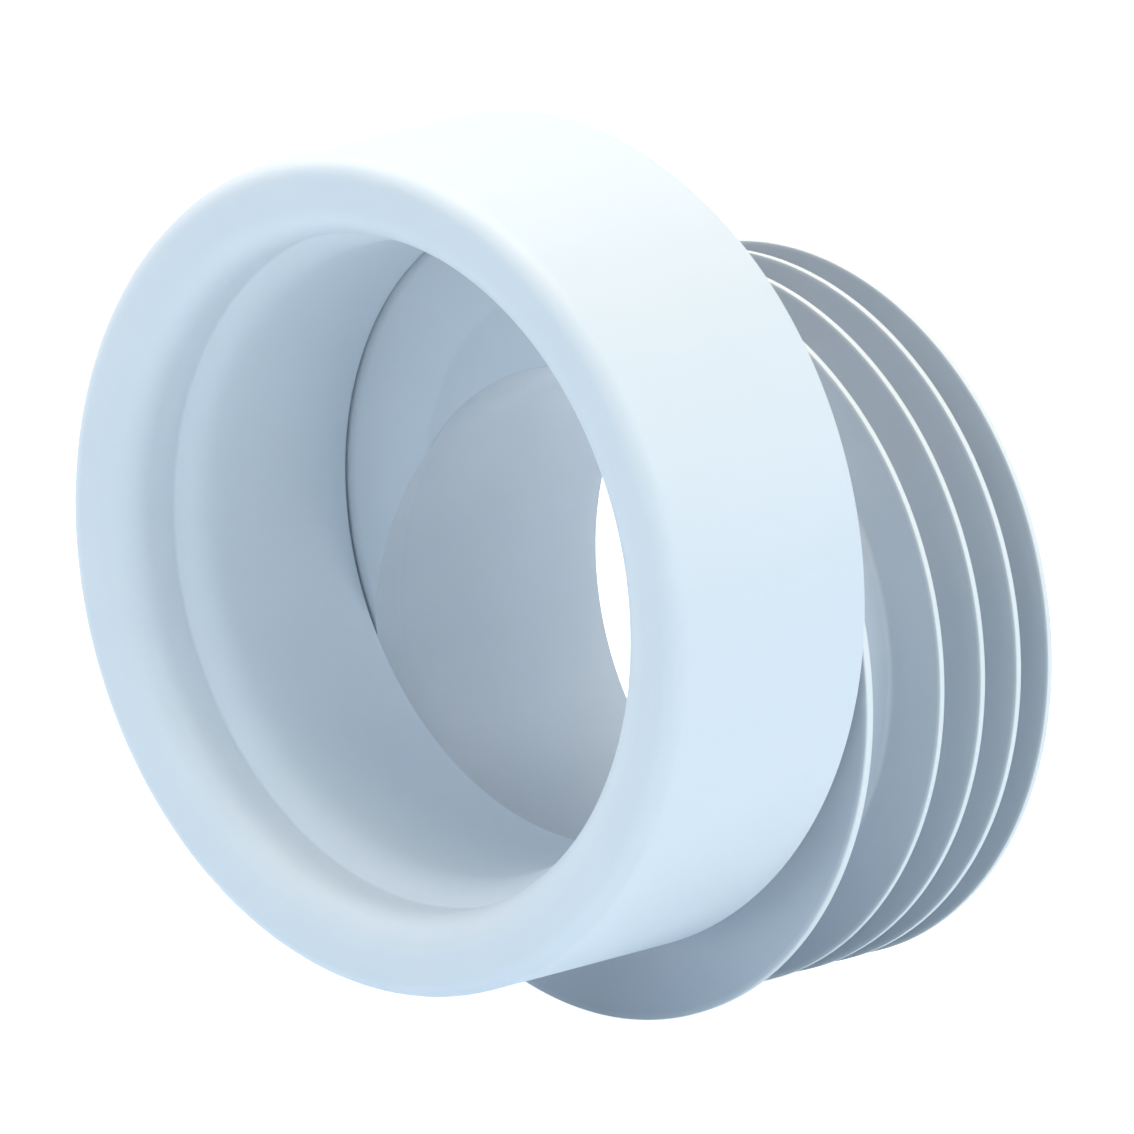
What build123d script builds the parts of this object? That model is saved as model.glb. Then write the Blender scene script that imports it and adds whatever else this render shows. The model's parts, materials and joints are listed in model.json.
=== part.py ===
from build123d import *
from math import asin, degrees, sqrt
import os

# Offset toilet pan connector: a thin-walled moulded body with four sealing fins on its outlet,
# and a soft ring that wraps the rim of its inlet cup and grips the pan's outlet spout.
# Both axes run along +Y. The origin is on the inlet axis, where the straight grip of the seal starts.
# The outlet axis is parallel to the inlet axis and lower by the offset.

# Driving dimensions in millimetres
# Inlet seal
grip_r = 49.3
grip_length = 26.2
shoulder_rise = 3.6
shoulder_r = 10.0
throat_flare = 0.5
throat_length = 4.2
groove_blend = 0.8
lip_inner_r = 7.0
lip_outer_r = 3.5
sleeve_wall = 2.6
sleeve_room = 8.2
skirt_wall = 2.6
skirt_setback = 3.3
lip_back_depth = 12.0
rim_slot_depth = 4.0
seal_edge_r = 0.7

# Body
cup_wall = 2.2
cup_taper = 3.4
web_wall = 1.5
seat_inner_margin = 1.0
dish_depth = 3.8
dish_floor_r = 36.5
offset_drop = 20.0
ramp_length = 17.5
ramp_drop = 12.0
bore_r = 43.6
tube_wall = 1.8
flange_r = 57.8
fin_r = 55.7
fin_root_wall = 1.6
fin_rim_wall = 1.0
fin_root_blend = 0.8
fin_count = 4
first_fin_gap = 18.6
first_fin_pitch = 8.85
fin_pitch_step = 1.0
end_margin = 2.2
end_chamfer = 0.4

# Clearances between the seal and the wall of the cup, on each side, and between its end and its seat
rim_clearance = 0.1
seat_clearance = 0.4

# Radii that follow from the sizes above
sleeve_r = grip_r + sleeve_wall
groove_r = grip_r + shoulder_rise
throat_r = groove_r - throat_flare
cup_inner_r = sleeve_r + sleeve_room
cup_r = cup_inner_r + cup_wall
seal_r = cup_r + rim_clearance + skirt_wall
seat_inner_r = grip_r - seat_inner_margin
tube_r = bore_r + tube_wall

# Places along the axes that follow from the sizes above
shoulder_length = sqrt(shoulder_r**2 - (shoulder_r - shoulder_rise) ** 2)
groove_y = -shoulder_length
throat_y = groove_y - throat_length
lip_front_y = throat_y - lip_inner_r
lip_back_y = lip_front_y + lip_back_depth
rim_y = lip_back_y - rim_slot_depth
skirt_end_y = grip_length - skirt_setback
seat_y = grip_length + seat_clearance
seat_back_y = seat_y + web_wall
web_y = seat_y + dish_depth
web_back_y = web_y + web_wall
fin_pitches = [first_fin_pitch - fin_pitch_step * i for i in range(fin_count - 1)]
fin_places = [web_y + first_fin_gap + sum(fin_pitches[:i]) for i in range(fin_count)]
tube_end_y = fin_places[-1] + end_margin


def section(*edges):
    """Closed face in the plane of radius (X) and axial place (Y)."""
    return make_face(list(edges))


def line(*points):
    """Straight runs through the given points of radius and axial place."""
    return Polyline(*points).edges()


def corners(face, places):
    """Corners of a section that lie at the given places."""
    return [
        min(face.vertices(), key=lambda corner: (Vector(corner) - Vector(*place)).length)
        for place in places
    ]


def seal_section():
    """Section of the seal: skirt, rounded lip, groove, shoulder and straight grip."""
    lip_centre_r = throat_r + lip_inner_r
    shoulder_centre_r = grip_r + shoulder_r
    flank_angle = degrees(asin(shoulder_length / shoulder_r))
    slot_inner_r = cup_inner_r - rim_clearance
    slot_outer_r = cup_r + rim_clearance

    outer_round = RadiusArc(
        (seal_r, lip_front_y + lip_outer_r), (seal_r - lip_outer_r, lip_front_y), lip_outer_r
    )
    inner_round = RadiusArc((lip_centre_r, lip_front_y), (throat_r, throat_y), lip_inner_r)
    shoulder = CenterArc((shoulder_centre_r, 0), shoulder_r, 180, flank_angle)
    back_of_shoulder = CenterArc((shoulder_centre_r, 0), shoulder_r - sleeve_wall, 180, flank_angle)
    flank_back = back_of_shoulder @ 1

    front = line((seal_r, skirt_end_y), (seal_r, lip_front_y + lip_outer_r))
    land = line((seal_r - lip_outer_r, lip_front_y), (lip_centre_r, lip_front_y))
    throat = line((throat_r, throat_y), (throat_r + throat_flare, groove_y))
    inside = line((grip_r, 0), (grip_r, grip_length), (sleeve_r, grip_length), (sleeve_r, 0))
    slot = line(
        (flank_back.X, flank_back.Y),
        (flank_back.X + sleeve_wall / 2, lip_back_y),
        (slot_inner_r, lip_back_y),
        (slot_inner_r, rim_y),
        (slot_outer_r, rim_y),
        (slot_outer_r, skirt_end_y),
        (seal_r, skirt_end_y),
    )
    return section(
        *front, outer_round, *land, inner_round, *throat, shoulder, *inside, back_of_shoulder, *slot
    )


def make_inlet_seal():
    """Soft ring that grips the pan spout inside and covers the rim of the cup outside."""
    face = seal_section()
    edges = [(grip_r, grip_length), (sleeve_r, grip_length), (seal_r, skirt_end_y)]
    face = fillet(corners(face, edges), seal_edge_r)
    face = fillet(corners(face, [(groove_r, groove_y)]), groove_blend)
    return revolve(face, Axis.Y)


def circle_at(radius, y, z):
    """Round face across the axes, centred at the given place."""
    return Plane(origin=(0, y, z), x_dir=(1, 0, 0), z_dir=(0, 1, 0)) * Circle(radius)


def round_bar(radius, y_from, y_to, z):
    """Round bar along the axes between two places."""
    return extrude(circle_at(radius, y_from, z), y_to - y_from, dir=(0, 1, 0))


def ramp(radius):
    """Slanting round channel that leads the flow down to the outlet axis."""
    high = circle_at(radius, web_y - ramp_length, ramp_drop - offset_drop)
    low = circle_at(radius, web_y, -offset_drop)
    return loft([high, low])


def make_cup_outside():
    """Inlet cup as a filled form, tapered to the back of its dished web."""
    return revolve(
        section(
            *line(
                (0, rim_y),
                (cup_r, rim_y),
                (cup_r, seat_back_y - cup_taper),
                (cup_r - cup_taper, seat_back_y),
                (seat_inner_r, seat_back_y),
                (dish_floor_r, web_back_y),
                (0, web_back_y),
                (0, rim_y),
            )
        ),
        Axis.Y,
    )


def make_cup_hollow():
    """Space inside the cup, down to the seat and the dish of its web, one wall inside the taper."""
    taper_start_y = seat_back_y - cup_taper - cup_wall * (sqrt(2) - 1)
    return revolve(
        section(
            *line(
                (0, rim_y),
                (cup_inner_r, rim_y),
                (cup_inner_r, taper_start_y),
                (cup_inner_r - (seat_y - taper_start_y), seat_y),
                (seat_inner_r, seat_y),
                (dish_floor_r, web_y),
                (0, web_y),
                (0, rim_y),
            )
        ),
        Axis.Y,
    )


def make_spigot():
    """Outlet tube with its fins, thinner towards their rims, as one turned section."""
    tube = section(
        *line(
            (bore_r, web_y),
            (tube_r, web_y),
            (tube_r, tube_end_y),
            (bore_r, tube_end_y),
            (bore_r, web_y),
        )
    )
    root = fin_root_wall / 2
    rim = fin_rim_wall / 2
    middle_r = (bore_r + tube_r) / 2
    roots = []
    for y in fin_places:
        slope = (root - rim) / (fin_r - tube_r)
        buried = root + slope * (tube_r - middle_r)
        tube += section(
            *line(
                (middle_r, y - buried),
                (fin_r, y - rim),
                (fin_r, y + rim),
                (middle_r, y + buried),
                (middle_r, y - buried),
            )
        )
        roots += [(tube_r, y - root), (tube_r, y + root)]
    tube = fillet(corners(tube, roots), fin_root_blend)
    tube = chamfer(corners(tube, [(tube_r, tube_end_y)]), end_chamfer)
    return Pos(0, 0, -offset_drop) * revolve(tube, Axis.Y)


def make_connector_body():
    """Cup, dished web, flange and finned spigot in one moulding, with a free way right through."""
    flange = round_bar(flange_r, web_y, web_back_y, -offset_drop)
    outside = make_cup_outside() + ramp(bore_r + cup_wall) + flange
    way_out = round_bar(bore_r, web_y, web_back_y, -offset_drop)
    inside = make_cup_hollow() + ramp(bore_r) + way_out
    return outside - inside + make_spigot()


parts = {"inlet_seal": make_inlet_seal(), "connector_body": make_connector_body()}

os.makedirs("parts", exist_ok=True)
for node, solid in parts.items():
    export_step(solid, f"parts/{node}.step")
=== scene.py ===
"""Looks of an offset toilet pan connector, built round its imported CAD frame.

Lengths are in metres. Both axes run along +Y, and the outlet axis lies below the inlet axis.
The origin is on the inlet axis, where the straight grip of the seal starts.
"""

import json
import logging
import math
from dataclasses import dataclass
from enum import Enum

import bpy
import numpy as np
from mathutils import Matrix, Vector


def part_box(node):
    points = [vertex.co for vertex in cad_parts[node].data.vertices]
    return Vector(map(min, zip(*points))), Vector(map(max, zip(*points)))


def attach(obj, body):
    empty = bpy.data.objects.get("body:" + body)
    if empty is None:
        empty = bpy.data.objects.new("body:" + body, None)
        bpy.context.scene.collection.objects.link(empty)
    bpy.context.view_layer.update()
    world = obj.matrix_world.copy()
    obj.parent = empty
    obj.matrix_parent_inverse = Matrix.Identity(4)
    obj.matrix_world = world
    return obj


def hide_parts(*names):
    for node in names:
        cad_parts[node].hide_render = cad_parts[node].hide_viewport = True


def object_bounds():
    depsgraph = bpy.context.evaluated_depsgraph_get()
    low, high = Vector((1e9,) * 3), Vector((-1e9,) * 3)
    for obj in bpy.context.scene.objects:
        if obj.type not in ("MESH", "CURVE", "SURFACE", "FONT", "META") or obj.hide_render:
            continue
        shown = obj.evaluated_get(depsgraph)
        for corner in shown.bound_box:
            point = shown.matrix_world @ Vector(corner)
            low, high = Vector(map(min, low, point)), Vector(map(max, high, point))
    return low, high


LOG = logging.getLogger("pan_connector")
# Name of the mask of a painted highlight along the rims of the fins and the flange
PAINTED_RIM_HIGHLIGHT = "painted_rim_highlight"
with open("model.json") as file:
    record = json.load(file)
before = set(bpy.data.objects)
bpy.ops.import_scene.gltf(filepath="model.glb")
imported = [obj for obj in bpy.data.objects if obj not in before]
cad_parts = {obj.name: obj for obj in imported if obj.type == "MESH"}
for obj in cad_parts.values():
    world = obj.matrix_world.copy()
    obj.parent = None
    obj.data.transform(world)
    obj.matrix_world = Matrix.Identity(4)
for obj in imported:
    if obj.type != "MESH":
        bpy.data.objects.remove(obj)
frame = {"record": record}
CAD_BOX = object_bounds()

MM_PER_METRE = 1000

# Where straight runs of a section get points of their own, as shares of the run
WALL_RUN_PLACES = np.array([0.04, 0.35, 0.65, 0.96])
FIN_RUN_PLACES = np.array([0.06, 0.94])

# How the skin's patterns are drawn out, mixed and spread
STREAK_STRETCH = (1.0, 0.12, 1.0)
STREAK_SHARE = 0.4
FINER_THAN_CLOUDS = 2.6
PATCHES_IN_HEIGHT = 0.5
TONE_SPREAD = (0.35, 0.65)
GLOSS_SPREAD = (0.3, 0.7)


class Slot(Enum):
    """Material slots of the record."""

    BODY = "body_plastic"
    SEAL = "seal_rubber"


class Node(Enum):
    """CAD nodes that the pieces here stand for."""

    BODY = "connector_body"
    SEAL = "inlet_seal"


def mount(name: str) -> dict:
    """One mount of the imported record.

    Args:
        name: the mount's name.

    Returns:
        The mount's entry, with its place in metres and its radius in millimetres.
    """
    return next(m for m in frame["record"]["mounts"] if m["name"] == name)


def rounded_outline(
    corners: np.ndarray, radii: np.ndarray, arc_steps: int, run_places: np.ndarray
) -> np.ndarray:
    """Closed outlines with every corner rounded, for one section or for many at once.

    An arc touches both sides of its corner at the radius divided by the tangent of half the corner's
    angle, and never nearer than a hundredth of a millimetre, so that no face is left without an area.
    Where a side is too short for the arcs at its two ends, both give way in the same share.
    Between its touching points an arc is the rational quadratic curve through the corner, whose middle
    weight is the sine of that half angle, which is a true arc. Between two arcs, points are added at
    the given shares of the straight run, so that flat stretches keep flat shading.

    Args:
        corners: places of the corners, shape (..., corners, 2).
        radii: radius at each corner, shape (corners,).
        arc_steps: steps along each arc.
        run_places: shares of each straight run, between 0 and 1.

    Returns:
        Points of the closed outlines, shape (..., points, 2).
    """
    tiny = 1e-9
    nearest_touch = 1e-5
    usable_share = 0.98
    before = np.roll(corners, 1, axis=-2) - corners
    after = np.roll(corners, -1, axis=-2) - corners
    length_before = np.maximum(np.linalg.norm(before, axis=-1, keepdims=True), tiny)
    length_after = np.maximum(np.linalg.norm(after, axis=-1, keepdims=True), tiny)
    before = before / length_before
    after = after / length_after
    cosine = np.clip(np.sum(before * after, axis=-1, keepdims=True), -1.0, 1.0)
    half_angle_cotangent = np.sqrt((1 + cosine) / np.maximum(1 - cosine, tiny))
    wanted = np.maximum(radii[:, None] * half_angle_cotangent, nearest_touch)
    room_before = usable_share * length_before / (wanted + np.roll(wanted, 1, axis=-2))
    room_after = usable_share * length_after / (wanted + np.roll(wanted, -1, axis=-2))
    touch = wanted * np.minimum(np.minimum(room_before, room_after), 1.0)
    weight = np.sqrt((1 - cosine) / 2)[..., None, :]
    share = np.linspace(0.0, 1.0, arc_steps + 1)[:, None]
    first, middle, last = (1 - share) ** 2, 2 * share * (1 - share) * weight, share**2
    start = (corners + before * touch)[..., None, :]
    end = (corners + after * touch)[..., None, :]
    arcs = (first * start + middle * corners[..., None, :] + last * end) / (first + middle + last)
    next_start = np.roll(start, -1, axis=-3)
    runs = end + run_places[:, None] * (next_start - end)
    points = np.concatenate([arcs, runs], axis=-2)
    return points.reshape(*points.shape[:-3], -1, 2)


def turned(outline: np.ndarray, angles: np.ndarray, axis_z: float) -> np.ndarray:
    """Surface that carries an outline round an axis along Y.

    A point at radius r and place y goes to X = r sin(angle), Y = y, Z = axis height + r cos(angle).

    Args:
        outline: points of radius and place, shape (points, 2) or (angles, points, 2).
        angles: angles from the top, in radians.
        axis_z: height of the axis.

    Returns:
        Grid of points, shape (angles, points, 3).
    """
    sections = np.broadcast_to(outline, (len(angles), *outline.shape[-2:]))
    radius = sections[..., 0]
    return np.stack(
        [
            radius * np.sin(angles)[:, None],
            sections[..., 1],
            axis_z + radius * np.cos(angles)[:, None],
        ],
        axis=-1,
    )


def facing_out(grid: np.ndarray) -> np.ndarray:
    """A closed ring's grid, walked so that its faces point outwards.

    The volume inside is a sixth of the sum, over all faces, of a corner times the cross product of the
    corner opposite with the other diagonal. It is negative when the faces point inwards.

    Args:
        grid: points of a ring that joins up both ways, shape (angles, points, 3).

    Returns:
        The same grid, its outlines reversed if they ran the wrong way.
    """
    following = np.roll(grid, -1, axis=1)
    beside = np.roll(grid, -1, axis=0)
    opposite = np.roll(following, -1, axis=0)
    volume = np.sum(grid * np.cross(opposite, beside - following)) / 6
    return grid if volume > 0 else grid[:, ::-1]


def ring_mesh(name: str, grids: list[np.ndarray]) -> bpy.types.Object:
    """Mesh of one or more closed rings, each a grid that joins up both ways.

    Args:
        name: name of the piece.
        grids: grids of points, shape (angles, points, 3).

    Returns:
        The new object, at the origin, shaded smooth.
    """
    points, faces, first = [], [], 0
    for grid in map(facing_out, grids):
        rows, columns = grid.shape[:2]
        index = first + np.arange(rows * columns).reshape(rows, columns)
        beside = np.roll(index, -1, axis=0)
        quads = np.stack([index, np.roll(index, -1, 1), np.roll(beside, -1, 1), beside], axis=-1)
        points.append(grid.reshape(-1, 3))
        faces.append(quads.reshape(-1, 4))
        first += rows * columns
    corners = np.concatenate(faces).ravel()
    mesh = bpy.data.meshes.new(name)
    mesh.vertices.add(first)
    mesh.vertices.foreach_set("co", np.concatenate(points).ravel().astype(np.float32))
    mesh.loops.add(len(corners))
    mesh.loops.foreach_set("vertex_index", corners.astype(np.int32))
    mesh.polygons.add(len(corners) // 4)
    mesh.polygons.foreach_set("loop_start", np.arange(0, len(corners), 4, dtype=np.int32))
    mesh.polygons.foreach_set("use_smooth", np.ones(len(corners) // 4, dtype=bool))
    mesh.update(calc_edges=True)
    mesh.validate()
    piece = bpy.data.objects.new(name, mesh)
    bpy.context.scene.collection.objects.link(piece)
    return piece


def circle_reach(angles: np.ndarray, radius: float, drop: float) -> np.ndarray:
    """Distance from the inlet axis to a circle whose centre lies lower, in each direction.

    By the cosine rule it is the root of radius squared minus (drop times sine of the angle) squared,
    less drop times the cosine of the angle.

    Args:
        angles: directions from the top, in radians.
        radius: radius of the lower circle.
        drop: how far its centre lies below the inlet axis.

    Returns:
        Distances, one for each angle.
    """
    return np.sqrt(radius**2 - (drop * np.sin(angles)) ** 2) - drop * np.cos(angles)


@dataclass
class InletSeal:
    """Soft ring with a thick rounded lip, which grips the pan's outlet and wraps the rim of the cup."""

    outer_r: float
    front_y: float
    end_y: float
    grip_r: float
    shoulder_rise: float = 0.0036
    shoulder_start: float = 0.0047
    shoulder_r: float = 0.0100
    groove_y: float = -0.0077
    groove_blend: float = 0.0008
    throat_flare: float = 0.0013
    lip_outer_r: float = 0.0035
    lip_inner_r: float = 0.0063
    sleeve_wall: float = 0.0026
    skirt_wall: float = 0.0026
    skirt_setback: float = 0.0033
    lip_depth: float = 0.0120
    slot_depth: float = 0.0040
    slot_width: float = 0.0024
    edge_r: float = 0.0007
    fine_r: float = 0.0003
    around: int = 320
    arc_steps: int = 9

    def outline(self) -> np.ndarray:
        """Closed section of radius and place: skirt, slot for the cup's rim, sleeve, throat and lip.

        Returns:
            Points of the rounded section.
        """
        groove_r = self.grip_r + self.shoulder_rise
        sleeve_r = self.grip_r + self.sleeve_wall
        skirt_end = self.end_y - self.skirt_setback
        lip_back = self.front_y + self.lip_depth
        slot_front = lip_back - self.slot_depth
        slot_outer = self.outer_r - self.skirt_wall
        slot_inner = slot_outer - self.slot_width
        fine, edge = self.fine_r, self.edge_r
        walk = [
            (self.outer_r, skirt_end, edge),
            (slot_outer, skirt_end, fine),
            (slot_outer, slot_front, fine),
            (slot_inner, slot_front, fine),
            (slot_inner, lip_back, fine),
            (groove_r + self.sleeve_wall, lip_back, edge),
            (sleeve_r, -self.shoulder_start + self.sleeve_wall / 2, self.shoulder_r),
            (sleeve_r, self.end_y, edge),
            (self.grip_r, self.end_y, edge),
            (self.grip_r, -self.shoulder_start, self.shoulder_r),
            (groove_r, self.groove_y, self.groove_blend),
            (groove_r - self.throat_flare, self.front_y, self.lip_inner_r),
            (self.outer_r, self.front_y, self.lip_outer_r),
        ]
        corners = np.array(walk)
        return rounded_outline(corners[:, :2], corners[:, 2], self.arc_steps, WALL_RUN_PLACES)

    def build(self) -> bpy.types.Object:
        """The seal's finished piece, dressed and riding on the frame.

        Returns:
            The seal's object.
        """
        angles = np.linspace(0.0, 2 * np.pi, self.around, endpoint=False)
        piece = ring_mesh("inlet_seal_skin", [turned(self.outline(), angles, 0.0)])
        piece.data.materials.append(RUBBER.material())
        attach(piece, "root")
        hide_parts(Node.SEAL.value)
        return piece


@dataclass
class ConnectorBody:
    """Thin moulding: cup with a tapered back and a web, and a spigot with a flange and four fins."""

    cup_r: float
    rim_y: float
    end_y: float
    drop: float
    fin_r: float
    last_fin_y: float
    flange_r: float
    cup_wall: float = 0.0022
    cup_taper: float = 0.0034
    seat_y: float = 0.0266
    seat_inner_r: float = 0.0483
    dish_floor_r: float = 0.0365
    web_y: float = 0.0304
    web_wall: float = 0.0015
    bore_r: float = 0.0436
    tube_wall: float = 0.0018
    fin_root: float = 0.0016
    fin_rim: float = 0.0010
    fin_blend: float = 0.0008
    fin_gaps: tuple[float, ...] = (0.0, 0.00685, 0.0147, 0.02355)
    bend_r: float = 0.0012
    crease_r: float = 0.0030
    edge_r: float = 0.0003
    fine_r: float = 0.00018
    nest: float = 0.00003
    least_step: float = 0.00005
    # Depth over which the painted rim highlight fades in
    highlight_depth: float = 0.0005
    around: int = 320
    arc_steps: int = 4

    def cup_outline(self, angles: np.ndarray) -> np.ndarray:
        """Section of the cup and its dished web in each direction round the inlet axis.

        The web is flat where it meets the seal, slopes back to the floor of its dish, and ends at the
        bore, whose edge is nearer at the top than at the bottom. Each radius is the larger of its own
        and the bore's reach, so where the bore reaches past the cup, the taper turns outwards and
        becomes the ramp down to the outlet.

        Args:
            angles: directions from the top, in radians.

        Returns:
            Rounded sections, shape (angles, points, 2).
        """
        web_back = self.web_y + self.web_wall
        seat_back = self.seat_y + self.web_wall
        cup_in = self.cup_r - self.cup_wall
        taper_in_y = seat_back - self.cup_taper - self.cup_wall * (math.sqrt(2) - 1)
        hole = circle_reach(angles, self.bore_r - self.nest, self.drop)
        floor = np.maximum(self.dish_floor_r, hole + self.least_step)
        seat = np.maximum(self.seat_inner_r, floor + self.least_step)
        seat_out = np.maximum(cup_in - self.seat_y + taper_in_y, seat + self.least_step)
        floor_back = np.maximum(self.dish_floor_r, hole + self.tube_wall)
        seat_in_back = np.maximum(self.seat_inner_r, floor_back + self.least_step)
        back_out = np.maximum(self.cup_r - self.cup_taper, seat_in_back + self.least_step)
        walk = [
            (hole, self.dish_y(hole), self.edge_r),
            (hole, web_back, self.fine_r),
            (floor_back, web_back, self.bend_r),
            (seat_in_back, seat_back, self.bend_r),
            (back_out, seat_back, self.bend_r),
            (self.cup_r, seat_back - self.cup_taper, self.bend_r),
            (self.cup_r, self.rim_y, self.edge_r),
            (cup_in, self.rim_y, self.edge_r),
            (cup_in, taper_in_y, self.bend_r),
            (seat_out, self.seat_y, self.bend_r),
            (seat, self.seat_y, self.crease_r),
            (floor, self.dish_y(floor), self.crease_r),
        ]
        corners = np.stack(
            [np.stack(np.broadcast_arrays(r, y, angles)[:2], axis=-1) for r, y, _ in walk], axis=-2
        )
        radii = np.array([step[2] for step in walk])
        return rounded_outline(corners, radii, self.arc_steps, WALL_RUN_PLACES)

    def dish_y(self, radius: np.ndarray) -> np.ndarray:
        """Place of the web's front, which slopes evenly from the seat to the floor of the dish.

        Args:
            radius: distances from the inlet axis.

        Returns:
            Places along the axis.
        """
        return np.interp(radius, [self.dish_floor_r, self.seat_inner_r], [self.web_y, self.seat_y])

    def spigot_outline(self) -> np.ndarray:
        """Section of the flange, the tube and the fins, which taper towards their rims.

        Returns:
            Points of the rounded section.
        """
        tube_r = self.bore_r + self.tube_wall
        flange_front = self.web_y + self.nest
        flange_back = self.web_y + self.web_wall + self.nest
        walk = [
            (self.bore_r, self.end_y, self.edge_r),
            (self.bore_r, flange_front, self.fine_r),
            (self.flange_r, flange_front, self.edge_r),
            (self.flange_r, flange_back, self.edge_r),
            (tube_r, flange_back, self.fin_blend),
        ]
        for gap in reversed(self.fin_gaps):
            y = self.last_fin_y - gap
            walk += [
                (tube_r, y - self.fin_root / 2, self.fin_blend),
                (self.fin_r, y - self.fin_rim / 2, self.fine_r),
                (self.fin_r, y + self.fin_rim / 2, self.fine_r),
                (tube_r, y + self.fin_root / 2, self.fin_blend),
            ]
        walk.append((tube_r, self.end_y, self.edge_r))
        corners = np.array(walk)
        return rounded_outline(corners[:, :2], corners[:, 2], self.arc_steps, FIN_RUN_PLACES)

    def mark_painted_rim_highlight(self, mesh: bpy.types.Mesh) -> None:
        """Writes the mask of a painted highlight: how near each point is to the rim of a fin or of the
        flange.

        The share rises from 0 to 1 with the distance from the outlet axis, over the last part of a fin
        or of the flange. It stays 0 in front of the web.

        Args:
            mesh: the body's mesh.
        """
        places = np.empty(len(mesh.vertices) * 3, dtype=np.float32)
        mesh.vertices.foreach_get("co", places)
        x, y, z = places.reshape(-1, 3).T
        radius = np.hypot(x, z + self.drop)
        behind_flange = y > self.web_y + 2 * self.web_wall
        rim_r = np.where(behind_flange, self.fin_r, self.flange_r)
        share = np.clip((radius - rim_r) / self.highlight_depth + 1, 0.0, 1.0)
        share[y < self.web_y] = 0.0
        mark = mesh.attributes.new(PAINTED_RIM_HIGHLIGHT, "FLOAT", "POINT")
        mark.data.foreach_set("value", share.astype(np.float32))

    def build(self) -> bpy.types.Object:
        """The body's finished piece, dressed and riding on the frame.

        Returns:
            The body's object.
        """
        angles = np.linspace(0.0, 2 * np.pi, self.around, endpoint=False)
        cup = turned(self.cup_outline(angles), angles, 0.0)
        spigot = turned(self.spigot_outline(), angles, -self.drop)
        piece = ring_mesh("connector_body_skin", [cup, spigot])
        # The rims of the fins and the flange get a painted highlight
        self.mark_painted_rim_highlight(piece.data)
        piece.data.materials.append(PLASTIC.material())
        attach(piece, "root")
        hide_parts(Node.BODY.value)
        return piece


def math_node(nodes: bpy.types.Nodes, operation: str, second: float = 0.5) -> bpy.types.Node:
    """New math node, whose second value counts where nothing is linked to it.

    Args:
        nodes: nodes to add to.
        operation: what the node does.
        second: its second value.

    Returns:
        The new node.
    """
    made = nodes.new("ShaderNodeMath")
    made.operation = operation
    made.inputs[1].default_value = second
    return made


def noise_node(nodes: bpy.types.Nodes, detail: float, roughness: float = 0.5) -> bpy.types.Node:
    """New noise texture.

    Args:
        nodes: nodes to add to.
        detail: how many finer layers it has.
        roughness: how strongly the finer layers show.

    Returns:
        The new node.
    """
    made = nodes.new("ShaderNodeTexNoise")
    made.inputs["Detail"].default_value = detail
    made.inputs["Roughness"].default_value = roughness
    return made


def moulded_skin_group() -> bpy.types.NodeTree:
    """Shader group that gives moulded rubber and plastic their fine skin.

    Returns:
        A group with inputs for the place, the grain's size and the cloud's size, and outputs for slow
        clouds of tone with faint flow streaks along the axes, for a patchy gloss and for the height of
        the grain.
    """
    group = bpy.data.node_groups.new("moulded_skin", "ShaderNodeTree")
    sockets = group.interface
    sockets.new_socket("Place", in_out="INPUT", socket_type="NodeSocketVector")
    for name in ("Grain Scale", "Cloud Scale"):
        sockets.new_socket(name, in_out="INPUT", socket_type="NodeSocketFloat")
    for name in ("Clouds", "Gloss", "Height"):
        sockets.new_socket(name, in_out="OUTPUT", socket_type="NodeSocketFloat")
    nodes, links = group.nodes, group.links
    given = nodes.new("NodeGroupInput")
    result = nodes.new("NodeGroupOutput")
    clouds = noise_node(nodes, detail=3.0, roughness=0.45)
    grain = noise_node(nodes, detail=4.0, roughness=0.6)
    patches = noise_node(nodes, detail=2.0)
    drawn_out = nodes.new("ShaderNodeVectorMath")
    drawn_out.operation = "MULTIPLY"
    drawn_out.inputs[1].default_value = STREAK_STRETCH
    streaks = noise_node(nodes, detail=2.0)
    streaked = nodes.new("ShaderNodeMix")
    streaked.inputs["Factor"].default_value = STREAK_SHARE
    finer = math_node(nodes, "MULTIPLY", FINER_THAN_CLOUDS)
    blend = math_node(nodes, "MULTIPLY_ADD", PATCHES_IN_HEIGHT)
    for texture in (clouds, grain, patches):
        links.new(given.outputs["Place"], texture.inputs["Vector"])
    links.new(given.outputs["Cloud Scale"], clouds.inputs["Scale"])
    links.new(given.outputs["Grain Scale"], grain.inputs["Scale"])
    links.new(given.outputs["Place"], drawn_out.inputs[0])
    links.new(drawn_out.outputs["Vector"], streaks.inputs["Vector"])
    links.new(given.outputs["Cloud Scale"], finer.inputs[0])
    links.new(finer.outputs["Value"], patches.inputs["Scale"])
    links.new(finer.outputs["Value"], streaks.inputs["Scale"])
    links.new(patches.outputs["Fac"], blend.inputs[0])
    links.new(grain.outputs["Fac"], blend.inputs[2])
    links.new(clouds.outputs["Fac"], streaked.inputs["A"])
    links.new(streaks.outputs["Fac"], streaked.inputs["B"])
    links.new(streaked.outputs["Result"], result.inputs["Clouds"])
    links.new(patches.outputs["Fac"], result.inputs["Gloss"])
    links.new(blend.outputs["Value"], result.inputs["Height"])
    return group


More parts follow.
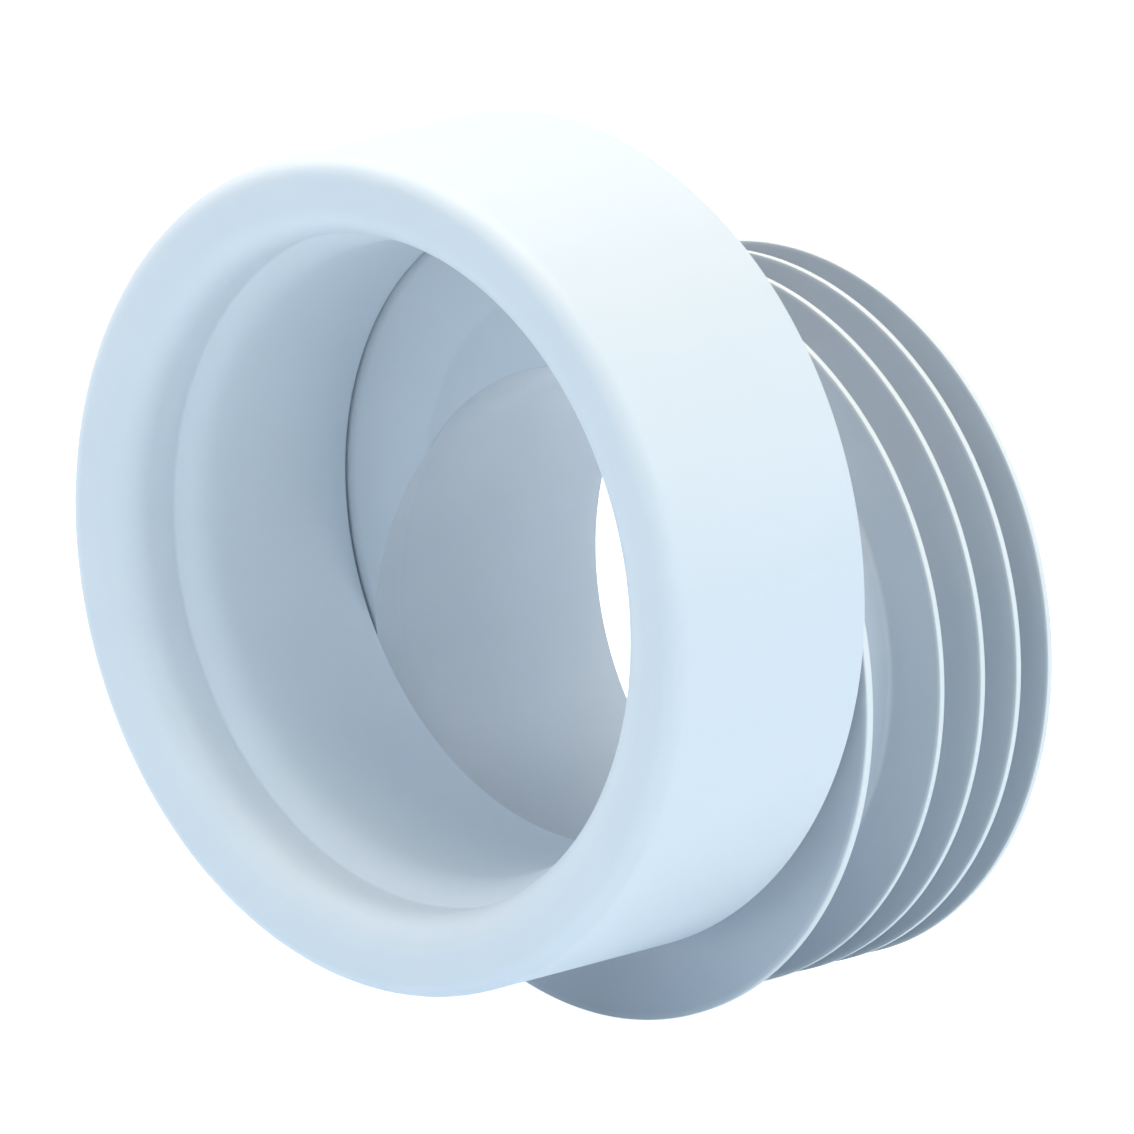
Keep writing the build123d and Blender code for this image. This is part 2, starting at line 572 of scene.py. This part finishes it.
@dataclass(frozen=True)
class MouldedFinish:
    """Finish of a moulded part: two close tones in slow clouds, a patchy gloss and a fine grain.

    Points marked by the rim mask take the rim tone, a painted highlight on the rims of the fins and the
    flange.
    """

    name: str
    light_tone: tuple[float, float, float]
    deep_tone: tuple[float, float, float]
    # Tone of the painted highlight on marked rims
    rim_highlight_tone: tuple[float, float, float]
    roughness: tuple[float, float]
    grain_size: float
    cloud_size: float
    grain_depth: float
    specular: float
    sheen: float

    def material(self) -> bpy.types.Material:
        """Node material of this finish, on Object coordinates.

        Returns:
            The new material.
        """
        made = bpy.data.materials.new(self.name)
        made.use_nodes = True
        nodes, links = made.node_tree.nodes, made.node_tree.links
        shader = nodes["Principled BSDF"]
        shader.inputs["Specular IOR Level"].default_value = self.specular
        shader.inputs["Sheen Weight"].default_value = self.sheen
        place = nodes.new("ShaderNodeTexCoord")
        skin = nodes.new("ShaderNodeGroup")
        skin.node_tree = SKIN
        skin.inputs["Grain Scale"].default_value = 1 / self.grain_size
        skin.inputs["Cloud Scale"].default_value = 1 / self.cloud_size
        tone = nodes.new("ShaderNodeValToRGB")
        deep, light = tone.color_ramp.elements
        deep.position, light.position = TONE_SPREAD
        deep.color = (*self.deep_tone, 1.0)
        light.color = (*self.light_tone, 1.0)
        rim = nodes.new("ShaderNodeAttribute")
        rim.attribute_name = PAINTED_RIM_HIGHLIGHT
        # Painted highlight: the rim tone is mixed in where the rim mask is set
        highlight_mix = nodes.new("ShaderNodeMix")
        highlight_mix.data_type = "RGBA"
        highlight_mix.inputs["B"].default_value = (*self.rim_highlight_tone, 1.0)
        gloss = nodes.new("ShaderNodeMapRange")
        gloss.inputs["From Min"].default_value = GLOSS_SPREAD[0]
        gloss.inputs["From Max"].default_value = GLOSS_SPREAD[1]
        gloss.inputs["To Min"].default_value = self.roughness[0]
        gloss.inputs["To Max"].default_value = self.roughness[1]
        bump = nodes.new("ShaderNodeBump")
        bump.inputs["Distance"].default_value = self.grain_depth
        bump.inputs["Strength"].default_value = 1.0
        links.new(place.outputs["Object"], skin.inputs["Place"])
        links.new(skin.outputs["Clouds"], tone.inputs["Fac"])
        links.new(rim.outputs["Fac"], highlight_mix.inputs["Factor"])
        links.new(tone.outputs["Color"], highlight_mix.inputs["A"])
        links.new(highlight_mix.outputs["Result"], shader.inputs["Base Color"])
        links.new(skin.outputs["Gloss"], gloss.inputs["Value"])
        links.new(gloss.outputs["Result"], shader.inputs["Roughness"])
        links.new(skin.outputs["Height"], bump.inputs["Height"])
        links.new(bump.outputs["Normal"], shader.inputs["Normal"])
        return made


SKIN = moulded_skin_group()
RUBBER = MouldedFinish(
    name="cool_white_rubber",
    light_tone=(0.825, 0.885, 0.94),
    deep_tone=(0.80, 0.866, 0.928),
    rim_highlight_tone=(0.82, 0.89, 0.94),
    roughness=(0.42, 0.52),
    grain_size=0.0011,
    cloud_size=0.035,
    grain_depth=0.00001,
    specular=0.4,
    sheen=0.05,
)
PLASTIC = MouldedFinish(
    name="cool_white_moulding",
    light_tone=(0.655, 0.705, 0.765),
    deep_tone=(0.63, 0.685, 0.745),
    # Pale tone of the painted highlight on the fin and flange rims
    rim_highlight_tone=(0.90, 0.94, 0.95),
    roughness=(0.34, 0.44),
    grain_size=0.0008,
    cloud_size=0.028,
    grain_depth=0.000006,
    specular=0.45,
    sheen=0.0,
)


@dataclass(frozen=True)
class SoftLamp:
    """Square soft lamp that faces the object.

    Azimuth is in degrees from the front, rising towards the right side, and elevation in degrees above
    the horizon. The level is the brightness that it gives a white surface that faces it.
    """

    name: str
    azimuth: float
    elevation: float
    level: float
    tone: tuple[float, float, float]


LAMPS = (
    SoftLamp("overhead_softbox", azimuth=0.0, elevation=89.0, level=0.58, tone=(1.0, 0.885, 0.675)),
    SoftLamp("left_softbox", azimuth=-90.0, elevation=50.0, level=0.55, tone=(0.89, 0.91, 1.0)),
    SoftLamp("right_fill", azimuth=90.0, elevation=25.0, level=0.35, tone=(0.82, 0.92, 1.0)),
    SoftLamp("back_fill", azimuth=135.0, elevation=25.0, level=0.25, tone=(0.86, 0.93, 1.0)),
    SoftLamp("front_fill", azimuth=0.0, elevation=25.0, level=0.32, tone=(0.74, 0.89, 1.0)),
)


@dataclass
class Studio:
    """Plain white room: floor, soft lamps, pale surroundings and the camera."""

    azimuth: float = 44.7
    elevation: float = 14.75
    frame_width: float = 0.1726
    aim: tuple[float, float, float] = (0.00168, 0.02251, -0.00543)
    camera_distance: float = 6.6
    sensor_width: float = 36.0
    view_reach: float = 30.0
    lamp_size: float = 1.2
    lamp_distance: float = 1.6
    floor_gap: float = 0.0005
    floor_size: float = 12.0
    sky_tone: tuple[float, float, float] = (0.75, 0.87, 1.0)
    sky_level: float = 0.05
    floor_tone: tuple[float, float, float] = (0.76, 0.87, 0.97)
    floor_glow: float = 0.88
    floor_roughness: float = 0.9

    def outward(self, azimuth: float, elevation: float) -> Vector:
        """Direction from the object towards a place in the room.

        Args:
            azimuth: degrees from the front, rising towards the right side.
            elevation: degrees above the horizon.

        Returns:
            Unit vector.
        """
        turn, rise = math.radians(azimuth), math.radians(elevation)
        level = math.cos(rise)
        return Vector((math.sin(turn) * level, -math.cos(turn) * level, math.sin(rise)))

    def build_camera(self) -> bpy.types.Object:
        """Long lens at the photograph's angle and framing, from far away.

        Returns:
            The camera.
        """
        data = bpy.data.cameras.new("camera")
        data.sensor_width = self.sensor_width
        data.lens = self.sensor_width * self.camera_distance / self.frame_width
        data.clip_end = self.view_reach
        camera = bpy.data.objects.new("camera", data)
        back = self.outward(self.azimuth, self.elevation)
        camera.location = Vector(self.aim) + back * self.camera_distance
        camera.rotation_mode = "QUATERNION"
        camera.rotation_quaternion = (-back).to_track_quat("-Z", "Y")
        bpy.context.scene.collection.objects.link(camera)
        bpy.context.scene.camera = camera
        return camera

    def build_lamp(self, lamp: SoftLamp) -> bpy.types.Object:
        """One lamp of the room.

        Its power is its level times the square of pi times its distance.

        Args:
            lamp: where the lamp stands, and its light.

        Returns:
            The lamp's object.
        """
        data = bpy.data.lights.new(lamp.name, "AREA")
        data.size = self.lamp_size
        data.energy = lamp.level * (math.pi * self.lamp_distance) ** 2
        data.color = lamp.tone
        made = bpy.data.objects.new(lamp.name, data)
        direction = self.outward(lamp.azimuth, lamp.elevation)
        made.location = Vector(self.aim) + direction * self.lamp_distance
        made.rotation_mode = "QUATERNION"
        made.rotation_quaternion = (-direction).to_track_quat("-Z", "Y")
        bpy.context.scene.collection.objects.link(made)
        return made

    def build_surroundings(self) -> None:
        """World that is white to the camera and in gloss, and lights the object with a cool sky."""
        world = bpy.data.worlds.new("surroundings")
        bpy.context.scene.world = world
        world.use_nodes = True
        nodes, links = world.node_tree.nodes, world.node_tree.links
        sky = nodes["Background"]
        sky.inputs["Color"].default_value = (*self.sky_tone, 1.0)
        sky.inputs["Strength"].default_value = self.sky_level
        white = nodes.new("ShaderNodeBackground")
        white.inputs["Color"].default_value = (1.0, 1.0, 1.0, 1.0)
        mixed = nodes.new("ShaderNodeMixShader")
        links.new(self.seen_directly(nodes, links), mixed.inputs["Fac"])
        links.new(sky.outputs["Background"], mixed.inputs[1])
        links.new(white.outputs["Background"], mixed.inputs[2])
        links.new(mixed.outputs["Shader"], nodes["World Output"].inputs["Surface"])

    def seen_directly(
        self, nodes: bpy.types.Nodes, links: bpy.types.NodeLinks
    ) -> bpy.types.NodeSocket:
        """Mask of camera, glossy and transmission rays.

        Args:
            nodes: nodes to add to.
            links: links to add to.

        Returns:
            The mask's output.
        """
        path = nodes.new("ShaderNodeLightPath")
        camera_or_gloss = math_node(nodes, "MAXIMUM")
        links.new(path.outputs["Is Camera Ray"], camera_or_gloss.inputs[0])
        links.new(path.outputs["Is Glossy Ray"], camera_or_gloss.inputs[1])
        mask = math_node(nodes, "MAXIMUM")
        links.new(camera_or_gloss.outputs["Value"], mask.inputs[0])
        links.new(path.outputs["Is Transmission Ray"], mask.inputs[1])
        return mask.outputs["Value"]

    def build_floor(self) -> bpy.types.Object:
        """White floor just below the object, clear from underneath, which keeps the object's shadow.

        Returns:
            The floor.
        """
        low = CAD_BOX[0].z - self.floor_gap
        half = self.floor_size / 2
        corners = [(-half, -half, low), (half, -half, low), (half, half, low), (-half, half, low)]
        mesh = bpy.data.meshes.new("floor")
        mesh.from_pydata(corners, [], [(0, 1, 2, 3)])
        floor = bpy.data.objects.new("floor", mesh)
        bpy.context.scene.collection.objects.link(floor)
        mesh.materials.append(self.floor_material())
        return floor

    def floor_material(self) -> bpy.types.Material:
        """White floor finish with a little of its own light towards the camera.

        Returns:
            The new material.
        """
        made = bpy.data.materials.new("white_floor")
        made.use_nodes = True
        nodes, links = made.node_tree.nodes, made.node_tree.links
        paint = nodes["Principled BSDF"]
        paint.inputs["Base Color"].default_value = (*self.floor_tone, 1.0)
        paint.inputs["Roughness"].default_value = self.floor_roughness
        glow = nodes.new("ShaderNodeEmission")
        lift = math_node(nodes, "MULTIPLY", self.floor_glow)
        links.new(self.seen_directly(nodes, links), lift.inputs[0])
        links.new(lift.outputs["Value"], glow.inputs["Strength"])
        both = nodes.new("ShaderNodeAddShader")
        links.new(paint.outputs["BSDF"], both.inputs[0])
        links.new(glow.outputs["Emission"], both.inputs[1])
        clear = nodes.new("ShaderNodeBsdfTransparent")
        side = nodes.new("ShaderNodeNewGeometry")
        mixed = nodes.new("ShaderNodeMixShader")
        links.new(side.outputs["Backfacing"], mixed.inputs["Fac"])
        links.new(both.outputs["Shader"], mixed.inputs[1])
        links.new(clear.outputs["BSDF"], mixed.inputs[2])
        links.new(mixed.outputs["Shader"], nodes["Material Output"].inputs["Surface"])
        return made

    def build(self) -> None:
        """The whole room."""
        self.build_camera()
        self.build_surroundings()
        self.build_floor()
        for lamp in LAMPS:
            self.build_lamp(lamp)
        bpy.context.scene.view_settings.view_transform = "Standard"


def main() -> None:
    """Builds the room, then each piece of the connector from the frame's sizes."""
    logging.basicConfig(level=logging.INFO, format="%(message)s")
    inlet, outlet = mount("pan_inlet"), mount("soil_pipe_outlet")
    seal_low, seal_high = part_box(Node.SEAL.value)
    body_low, body_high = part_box(Node.BODY.value)
    drop = -outlet["pos_m"][2]
    Studio().build()
    pieces = [
        InletSeal(
            outer_r=seal_high.x,
            front_y=seal_low.y,
            end_y=seal_high.y,
            grip_r=inlet["dims"]["r_mm"] / MM_PER_METRE,
        ).build(),
        ConnectorBody(
            cup_r=body_high.x,
            rim_y=body_low.y,
            end_y=body_high.y,
            drop=drop,
            fin_r=outlet["dims"]["r_mm"] / MM_PER_METRE,
            last_fin_y=outlet["pos_m"][1],
            flange_r=-body_low.z - drop,
        ).build(),
    ]
    for piece in pieces:
        LOG.info("%s: %d faces", piece.name, len(piece.data.polygons))


if __name__ == "__main__":
    main()
